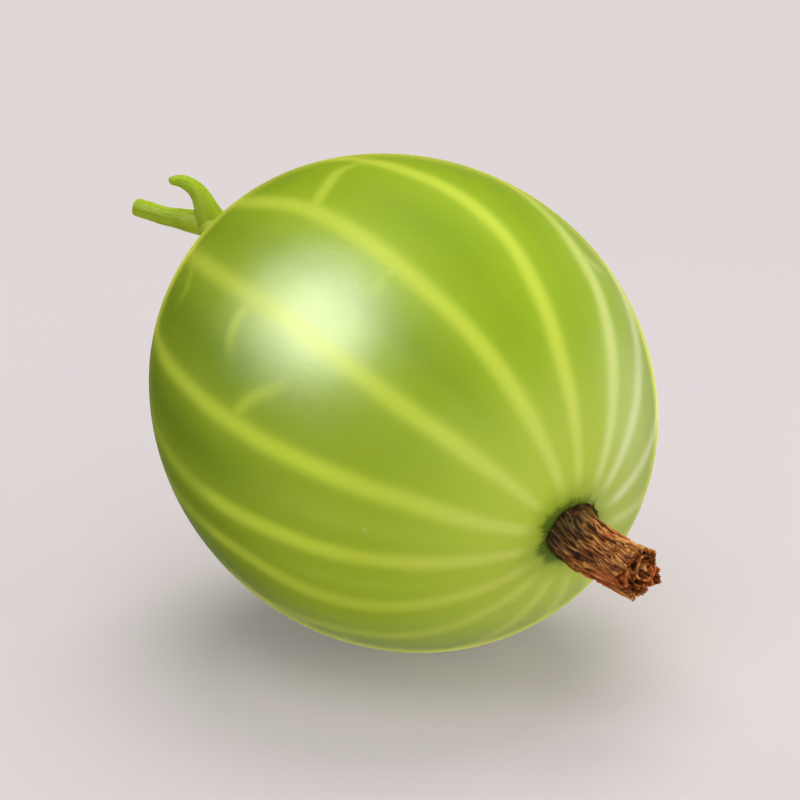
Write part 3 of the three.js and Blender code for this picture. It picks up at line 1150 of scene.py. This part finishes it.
        # The shade follows the height: raised fibres lighter, pits and furrows darker, partly the tissue's
        # own streaks and partly painted light and shade.
        shade = 0.5 + rough * (0.26 * crest + 0.42 * fleck - 0.55 * pit - 0.08)
        shade = shade + 0.22 * streak + 0.12 * furrow
        shade = shade + 0.46 * ridge * (1 - 0.5 * collar) + 0.06 * collar
        shade = shade - 0.07 * smooth_step(along, 3.4, 2.6)
        return height.reshape(shape), np.clip(shade, 0, 1).reshape(shape)

    def _radius(self, along: np.ndarray, turn: np.ndarray) -> np.ndarray:
        """Returns the tube's radius without its fibres."""
        share = along / self.length
        radius = np.interp(share, (-0.1, 0, 0.12, 0.5, 0.85, 1.0), (1.2, 1.3, 1.22, 1.08, 1.12, 1.2))
        shoulder = 0.24 * bell(turn, math.radians(36), 0.4) * smooth_step(along, 0.9, 0.1)
        return radius * (1 + 0.06 * np.cos(2 * turn + 0.6) * share) + shoulder

    def _edge(self, turn: np.ndarray) -> np.ndarray:
        """Returns how far along the torn rim is."""
        turns, lengths = np.array(self.rim).T
        around = np.stack([np.cos(turn) * 7, np.sin(turn) * 7, np.full(len(turn), 3.3)], axis=1)
        return np.interp(centred(np.degrees(turn), 360), turns, lengths) + 0.1 * self.noise.at(around, 2)

    def _sheath(self) -> tuple[np.ndarray, Faces, np.ndarray]:
        """Builds the tube with its outer and inner wall.

        Returns:
            Vertices, faces and the shade of each vertex.
        """
        turn = np.linspace(-math.pi, math.pi, self.columns, endpoint=False)
        edge = self._edge(turn)
        outer = np.linspace(-self.sunk, 1, self.rows)[:, None]
        outer = np.where(outer < 0, outer, outer * edge)
        down = np.linspace(0.0, 1, self.inner_rows)[:, None] ** 1.3
        inner = edge - down * (self.hollow + edge - self.length)
        turns = np.broadcast_to(turn, outer.shape)
        height, shade = self._relief(outer, turns)
        places = self._place(outer, turns, self._radius(outer, turns) + height)
        turns = np.broadcast_to(turn, inner.shape)
        deep = (edge - inner) / self.hollow
        inner_height, inner_shade = self._relief(inner, turns, 31.0)
        radius = self._radius(inner, turns) + height[-1] - self.wall - 0.35 * deep + 0.8 * inner_height * deep
        inside = self._place(inner, turns, radius)
        centre = self._place(np.array([-self.sunk, self.length - self.hollow]), np.zeros(2), np.zeros(2))
        vertices = np.vstack([places.reshape(-1, 3), inside.reshape(-1, 3), centre])
        count = len(outer) + len(inner)
        faces = grid_faces(count, self.columns, around=True, flipped=True)
        faces += fan_faces(count * self.columns, 0, self.columns)
        faces += fan_faces(count * self.columns + 1, (count - 1) * self.columns, self.columns, flipped=True)
        # Painted shade: the inner wall is darker further down into the mouth.
        shades = np.concatenate([shade.ravel(), (inner_shade * (0.75 - 0.6 * deep)).ravel(), [0.0, 0.0]])
        return vertices, faces, shades

    def _scroll(self) -> tuple[np.ndarray, Faces, np.ndarray]:
        """Builds the curled lobe inside the mouth, as vertices, faces and shades."""
        share, depth = np.meshgrid(*(np.linspace(0, 1, count) for count in self.scroll_grid), indexing="ij")
        angle = math.radians(-70) + share * math.radians(760)

        def crinkle(fineness: float, length: float, shift: float) -> np.ndarray:
            """Reads noise in this many cells around and along the scroll."""
            places = [share.ravel() * fineness, depth.ravel() * length, share.ravel() * 0 + shift]
            return self.noise.at(np.stack(places, axis=1)).reshape(share.shape)

        soft, sharp = crinkle(20, 2.5, 4.0), crinkle(64, 6.0, 8.0)
        growing = smooth_step(share, 0.0, 0.15)
        radius = 0.12 + 0.68 * share**0.9 + (0.05 * soft + 0.035 * sharp) * growing
        ragged = crinkle(26, 0.0, 1.5) + 0.5 * crinkle(60, 0.0, 2.5)
        along = self.length - 1.7 + depth * (1.72 - 0.4 * share + 0.12 * ragged)
        up = 0.36 + 1.12 * radius * np.cos(angle)
        across = -0.02 + 0.95 * radius * np.sin(angle)
        front = self._place(along, np.arctan2(across, up), np.hypot(up, across))
        vertices, faces = thick_sheet(front, self.scroll_thickness)
        # Painted shade: the scroll is darker further down into the mouth.
        shade = np.clip(0.45 + 0.4 * soft + 0.6 * sharp, 0, 1) * (0.4 + 0.6 * depth)
        return vertices, faces, np.tile(shade.ravel(), 2)

    def _scraps(self, count: int = 11) -> list[tuple[np.ndarray, Faces, np.ndarray]]:
        """Builds the crumpled remains inside the mouth, each as vertices, faces and shades."""
        made = []
        picks = np.random.default_rng(19)
        for index in range(count):
            turn = index * 2.4 + picks.uniform(-0.3, 0.3)
            out, width, length = picks.uniform(0.25, 0.85), picks.uniform(0.45, 0.8), picks.uniform(0.9, 1.35)
            rows, columns = self.scrap_grid
            depth, side = np.meshgrid(np.linspace(0, 1, rows), np.linspace(-0.5, 0.5, columns), indexing="ij")
            cells = [depth.ravel() * 3 + index * 5, side.ravel() * 3, np.full(side.size, float(index))]
            place = np.stack(cells, axis=1)
            crumple = self.noise.at(place, 2).reshape(depth.shape)
            fibre = self.noise.at(place * np.array([1.2, 3.6, 1.0])).reshape(depth.shape)
            radius = out + 0.14 * crumple + 0.05 * fibre + 0.4 * side**2
            around = turn + side * width / max(out, 0.35)
            along = self.length - 1.6 + depth * length + 0.08 * crumple
            front = self._place(along, around, radius)
            vertices, faces = thick_sheet(front, self.scrap_thickness)
            # Painted shade: each scrap is darker further down into the mouth.
            shade = np.clip(0.45 + 0.3 * crumple + 0.6 * fibre, 0, 1) * (0.4 + 0.6 * depth)
            made.append((vertices, faces, np.tile(shade.ravel(), 2)))
        return made

    def _masks(self, vertices: np.ndarray, shade: np.ndarray) -> Masks:
        """Works out the shade, the russet edges and the olive foot from the places."""
        foot = self._line.line[1]
        along = (vertices - foot) @ self.form.axis
        off = vertices - foot - along[:, None] * self.form.axis
        turn = np.arctan2(off[:, 1], off @ self.form.top)
        patch = self.noise.at(vertices * 1.1, 2)
        russet = 0.75 * bell(turn, math.radians(-142), 0.2) + 0.6 * bell(turn, math.radians(44), 0.16)
        russet = np.clip(russet + smooth_step(patch, 0.25, 0.7) * 0.6, 0, 1) * smooth_step(along, 0.9, 2.0)
        upper = 0.45 + 0.55 * bell(turn, math.radians(-45), 0.9)
        olive = smooth_step(along + 0.45 * patch, 2.1, 0.6) * upper
        olive = np.maximum(olive, smooth_step(along + 0.3 * patch, 0.9, 0.3))
        return {"shade": shade, "russet": 0.75 * russet * (0.4 + 0.6 * shade), "olive": 0.93 * olive}

    def _axes(
        self, along: np.ndarray, turn: np.ndarray, radius: np.ndarray
    ) -> tuple[np.ndarray, np.ndarray, np.ndarray, np.ndarray]:
        """Returns places on the flower, and the unit directions ahead, outward and around there."""
        step = 0.3
        roots = self._place(along, turn, radius)
        ahead = self._place(along + step, turn, radius) - roots
        outward = self._place(along, turn, radius + step) - roots
        return roots, unit(ahead), unit(outward), unit(np.cross(ahead, outward))

    def _fibres(self) -> tuple[np.ndarray, np.ndarray, np.ndarray]:
        """Picks where loose fibres start, which way each runs and which way is out."""
        picks = np.random.default_rng(23)
        turn = picks.uniform(-math.pi, math.pi, self.fibres)
        along = 0.5 + picks.uniform(0.0, 1.0, self.fibres) * (self._edge(turn) - 1.35)
        height, _ = self._relief(along, turn)
        radius = self._radius(along, turn) + height - 0.015
        roots, ahead, outward, around = self._axes(along, turn, radius)
        lean = np.tan(-self.slant + picks.normal(0, 0.13, self.fibres))[:, None]
        return roots, ahead - lean * around + 0.01 * outward, outward

    def _sepal_roots(self) -> tuple[np.ndarray, np.ndarray, np.ndarray]:
        """Picks where the remains of the sepals start, which way each runs and which way is out."""
        picks = np.random.default_rng(31)
        upper = picks.uniform(-25, 50, self.sepals)
        anywhere = picks.uniform(-180, 180, self.sepals)
        turn = np.radians(np.where(np.arange(self.sepals) % 2, upper, anywhere))
        along = picks.uniform(0.0, 0.35, self.sepals)
        radius = self._radius(along, turn) - 0.02
        roots, ahead, outward, around = self._axes(along, turn, radius)
        forward, sideways = (picks.normal(middle, 0.35, self.sepals)[:, None] for middle in (0.6, 0.0))
        return roots, 0.12 * outward + forward * ahead + sideways * around, outward

    def build(self) -> None:
        """Makes the flower, its loose fibres and what is left of its sepals, and ties them to the frame."""
        parts = [self._sheath(), self._scroll(), *self._scraps()]
        vertices, faces = joined([part[:2] for part in parts])
        masks = self._masks(vertices, np.concatenate([part[2] for part in parts]))
        material = self.finish.material()
        flower = mesh_object("withered_flower", vertices, faces, material, masks)
        attach(flower, "dried_flower")
        strands = Strands("flower_fibres", (0.022, 0.045), (0.35, 0.9), 0.06, 1.0, 5, flatness=0.8)
        attach(strands.grow(*self._fibres(), material))
        strands = Strands("sepal_remains", (0.06, 0.11), (0.14, 0.34), 0.25, 0.0, 9, flatness=0.6)
        attach(strands.grow(*self._sepal_roots(), self.sepal_finish.material()))


@dataclass
class CalyxHairs:
    """The short hairs that stand on the skin round the foot of the withered flower."""

    form: BerryForm
    finish: HairFinish
    count: int = 460
    inner: float = 1.25
    outer: float = 1.8

    def build(self) -> None:
        """Grows the hairs and ties them to the frame."""
        picks = np.random.default_rng(3)
        turn = picks.uniform(-math.pi, math.pi, self.count)
        radius = picks.uniform(self.inner, self.outer, self.count)
        thick = 0.3 + 0.7 * bell(centred(turn + 1.1), 0.0, 0.85)
        radius = self.inner + (radius - self.inner) * picks.uniform(0.4, 1.0, self.count) * thick
        angle = np.arcsin(radius / self.form.half_diameter)
        roots = self.form.place(angle, turn)
        outward = self.form.outward(angle, turn)
        away = unit(self.form.place(angle + 0.02, turn) - roots)
        sideways = np.cross(away, outward)
        lean = picks.normal(0, 0.4, self.count)[:, None]
        rise = picks.uniform(0.15, 0.9, self.count)[:, None]
        strands = Strands("calyx_hairs", (0.014, 0.028), (0.1, 0.27), 0.25, 0.0, 11)
        aims = away + rise * outward + lean * sideways
        attach(strands.grow(roots - 0.02 * outward, aims, outward, self.finish.material()))


# ---- Stem and bract ----


@dataclass
class Stem:
    """The short stalk with the node that the bract grows from, and the shoot cut off beyond it."""

    form: BerryForm
    finish: GreenFinish
    gap: float = 0.2  # from the bottom of the dimple to where its offsets are counted from
    stalk: tuple[tuple[float, float, float], ...] = (
        (0.45, -0.04, -0.12), (0, 0, 0), (-1, 0.12, 0.3), (-2, 0.5, 0.84), (-2.85, 1.0, 1.45),
    )
    shoot: tuple[tuple[float, float, float], ...] = (
        (0.3, 0.15, -0.15), (-1.42, -0.47, -0.14), (-2.5, -0.82, -0.14), (-4, -1.3, 0.0),
    )
    stalk_radius: float = 0.56
    node_radius: float = 0.64
    shoot_radius: float = 0.42
    steps: int = 80  # places along each rod's line
    voxel: float = 0.045
    noise: Noise = field(default_factory=lambda: Noise(13))

    @property
    def foot(self) -> np.ndarray:
        """Where the stalk leaves the berry."""
        reach = self.form.half_length - self.form.stem_dimple[0] + self.gap
        return self.form.centre - reach * self.form.axis

    @property
    def node(self) -> np.ndarray:
        """The middle of the node."""
        return self.foot + np.array(self.stalk[-1])

    def _rods(self) -> tuple[Tube, Tube]:
        """Returns the stalk and the shoot."""
        share = np.linspace(0, 1, self.steps)
        flare = 0.26 * np.exp(-((share / 0.2) ** 2))
        stalk_radius = self.stalk_radius + flare + (self.node_radius - self.stalk_radius) * share**3
        stalk = Tube(self.foot + smooth_course(self.stalk, self.steps), stalk_radius)
        shoot_radius = self.shoot_radius + 0.2 * np.exp(-((share / 0.35) ** 2))
        return stalk, Tube(self.node + smooth_course(self.shoot, self.steps), shoot_radius)

    def build(self) -> None:
        """Makes the stem and ties it to the frame."""
        stalk, shoot = self._rods()
        vertices, faces = fused(*joined([stalk.closed(), shoot.closed()]), self.voxel)
        nearest, spoke = about_line(vertices, np.vstack([stalk.line, shoot.line]))
        run = nearest[:, None] * np.array([[0.012, 0.0, 0.02]])
        ridges = bark(self.noise, spoke, run, 3.1, 7.3)
        lumps = self.noise.at(vertices / 0.42, 2)
        near_node = smooth_step(np.linalg.norm(vertices - self.node, axis=1), 1.7, 0.9)
        vertices = vertices + spoke * ((0.03 * ridges + 0.016 * lumps) * (1 - near_node))[:, None]
        end = shoot.line[-1]
        outward = unit(shoot.line[-1] - shoot.line[-3])
        past = (vertices - end) @ outward
        radial = np.linalg.norm(vertices - end - past[:, None] * outward, axis=1)
        cut = smooth_step(past, -0.07, -0.03) * smooth_step(radial, self.shoot_radius, 0.24)
        masks = {
            # Painted shade: streak is strongest where the ridges are lowest, in the grooves.
            "streak": np.clip(0.35 - 1.1 * ridges, 0, 1) * 0.45 * (1 - 0.7 * near_node),
            "tip": near_node,
            "cut": cut,
        }
        stem = mesh_object("green_stem", vertices, faces, self.finish.material(), masks)
        attach(stem, "stem")


@dataclass
class Bract:
    """The small horn-like bract whose base clasps the node and whose tip hooks over."""

    node: np.ndarray
    finish: GreenFinish
    course: tuple[tuple[float, float, float], ...] = (
        (-0.02, 0.02, 0.0), (-0.26, -0.12, 0.6), (-0.62, -0.2, 1.2), (-1.02, -0.34, 1.57),
        (-1.4, -0.6, 1.79), (-1.7, -0.88, 1.82), (-1.88, -1.05, 1.73),
    )
    clasp: tuple[tuple[float, float, float], ...] = ((0.4, -0.22, -0.28), (0, 0, 0), (-0.3, -0.1, 0.0))
    clasp_radius: tuple[float, float, float] = (0.47, 0.7, 0.47)
    steps: int = 110  # places along the horn's line
    clasp_steps: int = 30
    sides: int = 64
    voxel: float = 0.042
    noise: Noise = field(default_factory=lambda: Noise(29))

    def build(self) -> None:
        """Makes the bract and ties it to the frame."""
        share = np.linspace(0, 1, self.steps)
        radius = np.interp(share, (0, 0.12, 0.3, 0.55, 0.8, 1), (0.74, 0.62, 0.46, 0.36, 0.27, 0.2))
        radius = np.convolve(np.pad(radius, 6, mode="edge"), np.ones(13) / 13, mode="valid")
        radius = radius * np.sqrt(1 - smooth_step(share, 0.9, 1.0) ** 2 * 0.97)
        horn = Tube(self.node + smooth_course(self.course, self.steps), radius, self.sides)
        angle = np.linspace(0, 2 * math.pi, self.sides, endpoint=False)[None, :]
        groove = 1 - 0.24 * bell(angle, math.pi, 0.5) * smooth_step(share, 0.25, 0.5)[:, None]
        clasp_radius = np.interp(np.linspace(0, 1, self.clasp_steps), (0, 0.5, 1), self.clasp_radius)
        clasp = Tube(self.node + smooth_course(self.clasp, self.clasp_steps), clasp_radius)
        vertices, faces = fused(*joined([horn.closed(groove), clasp.closed()]), self.voxel)
        nearest, spoke = about_line(vertices, horn.line)
        run = nearest[:, None] * np.array([[0.01, 0.0, 0.016]])
        ridges = bark(self.noise, spoke, run, 2.8, 6.9)
        vertices = vertices + spoke * (0.022 * ridges)[:, None]
        masks = {
            # Painted shade: streak is strongest where the ridges are lowest, in the grooves.
            "streak": np.clip(0.35 - 1.1 * ridges, 0, 1) * 0.45,
            "tip": smooth_step(nearest / len(horn.line), 0.2, 0.7) * 0.6,
            "cut": np.zeros_like(ridges),
        }
        bract = mesh_object("green_bract", vertices, faces, self.finish.material(), masks)
        attach(bract, "bract")


# ---- Studio ----


class Shine(Enum):
    """What a light is for."""

    DIFFUSE = "colour only"
    GLOSS = "highlights only"


@dataclass(frozen=True)
class Softbox:
    """A round light that faces the berry, placed by its azimuth, where 0 is at -Y, and elevation."""

    name: str
    azimuth: float
    elevation: float
    size: float  # metres
    radiance: float
    part: Shine
    distance: float = 0.6

    def light(self, target: Vector) -> None:
        """Hangs the light and turns it to the target, with its power set from its radiance."""
        data = bpy.data.lights.new(self.name, "AREA")
        data.shape, data.size = "DISK", self.size
        data.energy = self.radiance * math.pi * math.pi * self.size**2 / 4
        lamp = bpy.data.objects.new(self.name, data)
        back = direction(self.azimuth, self.elevation)
        lamp.location = target + back * self.distance
        lamp.rotation_euler = (-back).to_track_quat("-Z", "Y").to_euler()
        lamp.visible_camera = False
        lamp.visible_diffuse = self.part is Shine.DIFFUSE
        lamp.visible_glossy = self.part is Shine.GLOSS
        bpy.context.scene.collection.objects.link(lamp)


def direction(azimuth: float, elevation: float) -> Vector:
    """Returns the direction towards a place at this azimuth, where 0 is at -Y, and elevation, in degrees."""
    a, e = math.radians(azimuth), math.radians(elevation)
    return Vector((math.sin(a) * math.cos(e), -math.cos(a) * math.cos(e), math.sin(e)))


@dataclass
class Studio:
    """The pale floor and backdrop, the lights and the camera."""

    form: BerryForm
    backdrop: Colour = colour(224, 215, 215)
    floor_tone: Colour = colour(211, 203, 204)
    floor_half: float = 3000.0  # half the floor's side, in millimetres
    floor_glow: float = 0.25  # share of the floor's tone near the berry that is its own light
    floor_fade: tuple[float, float] = (0.028, 0.06)  # metres from the spot where the backdrop takes over
    bright_side: tuple[float, float] = (90.0, -10.0)  # azimuth and elevation the room is brightest towards
    ambient: tuple[float, float] = (0.02, 0.7)  # the room's light from the far side and the bright side
    glint_side: tuple[float, float] = (195.0, -40.0)  # where the surroundings are brightest in reflections
    reflected: tuple[Colour, Colour] = (colour(26, 26, 26), colour(150, 150, 150))  # away from it, towards it
    azimuth: float = 50.0
    elevation: float = 20.0
    distance: float = 0.45
    field_width: float = 0.0362  # metres across the frame at the berry
    lights: tuple[Softbox, ...] = (
        Softbox("front", 63, 4, 0.56, 2.08, Shine.DIFFUSE),
        Softbox("right", 125, 4, 0.45, 1.7, Shine.DIFFUSE),
        Softbox("overhead", 10, 78, 0.56, 1.8, Shine.DIFFUSE),
        Softbox("behind", -140, 54, 0.45, 5.2, Shine.DIFFUSE),
        Softbox("highlight", -17, 47.5, 0.42, 12.4, Shine.GLOSS),
        Softbox("halo", -25, 47.0, 0.76, 7.2, Shine.GLOSS),
        Softbox("glow_right", 165, -2, 0.4, 1.2, Shine.GLOSS),
    )

    def build(self) -> None:
        """Sets the whole studio up."""
        target = Vector(self.form.centre) * MM
        self._floor()
        self._world()
        for softbox in self.lights:
            softbox.light(target)
        self._camera(target)
        bpy.context.scene.view_settings.view_transform = "Standard"

    def _floor(self) -> None:
        """Lays the plain pale floor, which fades into the backdrop further out."""
        half = self.floor_half
        corners = np.array([(-half, -half, 0), (half, -half, 0), (half, half, 0), (-half, half, 0)])
        material, graph = new_material("floor")
        spot = Vector((self.form.spot, 0, 0)) * MM
        from_spot = graph.node("ShaderNodeVectorMath", {0: graph.place(), 1: spot}, operation="DISTANCE")
        lit = graph.node("ShaderNodeBsdfDiffuse", {"Color": self.floor_tone}).outputs[0]
        far = graph.node("ShaderNodeEmission", {"Color": self.backdrop, "Strength": 1.0}).outputs[0]
        near = graph.blend(self.floor_glow, lit, far)
        shown = graph.blend(graph.ramp(from_spot.outputs["Value"], *self.floor_fade), near, far)
        graph.node("ShaderNodeOutputMaterial", {"Surface": shown})
        floor = mesh_object("floor", corners, [(0, 1, 2, 3)], material)
        floor.visible_glossy = False

    def _world(self) -> None:
        """Shows the backdrop's colour to the camera and a soft ambient light to everything else."""
        world = bpy.data.worlds.new("studio")
        bpy.context.scene.world = world
        world.use_nodes = True
        graph = Graph(world.node_tree)
        shown = graph.node("ShaderNodeBackground", {"Color": self.backdrop, "Strength": 1.0}).outputs[0]
        path = graph.node("ShaderNodeLightPath").outputs
        coordinates = graph.node("ShaderNodeTexCoord").outputs["Generated"]
        to_bright = graph.dot(coordinates, direction(*self.bright_side))
        to_glint = graph.dot(coordinates, direction(*self.glint_side))
        brightness = {"Strength": graph.ramp(to_bright, -0.7, 0.9, *self.ambient)}
        ambient = graph.node("ShaderNodeBackground", {"Color": (1.0, 1.0, 1.0, 1.0)} | brightness).outputs[0]
        room = graph.mix(graph.ramp(to_glint, 0.58, 0.86), *self.reflected)
        mirrored = graph.node("ShaderNodeBackground", {"Color": room, "Strength": 1.0}).outputs[0]
        light = graph.blend(path["Is Glossy Ray"], ambient, mirrored)
        graph.node("ShaderNodeOutputWorld", {"Surface": graph.blend(path["Is Camera Ray"], light, shown)})

    def _camera(self, target: Vector) -> None:
        """Aims the camera at the berry."""
        data = bpy.data.cameras.new("camera")
        data.sensor_width = 36.0
        data.lens = data.sensor_width * self.distance / self.field_width
        data.clip_start, data.clip_end = 0.01, 10.0
        camera = bpy.data.objects.new("camera", data)
        back = direction(self.azimuth, self.elevation)
        camera.location = target + back * self.distance
        camera.rotation_euler = (-back).to_track_quat("-Z", "Y").to_euler()
        bpy.context.scene.collection.objects.link(camera)
        bpy.context.scene.camera = camera


def main() -> None:
    """Builds the studio and every piece, fitted to the CAD berry's box, and logs whether each CAD node is
    hidden.
    """
    logging.basicConfig(level=logging.INFO, format="%(message)s")
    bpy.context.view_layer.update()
    form = BerryForm.from_frame()
    effects = Effects()
    Studio(form).build()
    Berry(form, SkinFinish(effects)).build()
    sepal_brown = WitheredFinish(
        effects, brown=colour(116, 58, 34), tan=colour(168, 100, 56), name="withered_sepals"
    )
    WitheredFlower(form, WitheredFinish(effects), sepal_brown).build()
    CalyxHairs(form, HairFinish()).build()
    stem_green = GreenFinish(
        "stem_green", effects, colour(170, 192, 44), shaded=colour(138, 162, 28), tip=colour(170, 190, 46)
    )
    bract_green = GreenFinish(
        "bract_green", effects, colour(170, 190, 46), shaded=colour(138, 162, 30), tip=colour(160, 184, 40)
    )
    stem = Stem(form, stem_green)
    stem.build()
    Bract(stem.node, bract_green).build()
    for name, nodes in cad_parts.items():
        log.info("CAD node %s is %s", name, "hidden" if nodes.hide_render else "shown")


if __name__ == "__main__":
    main()
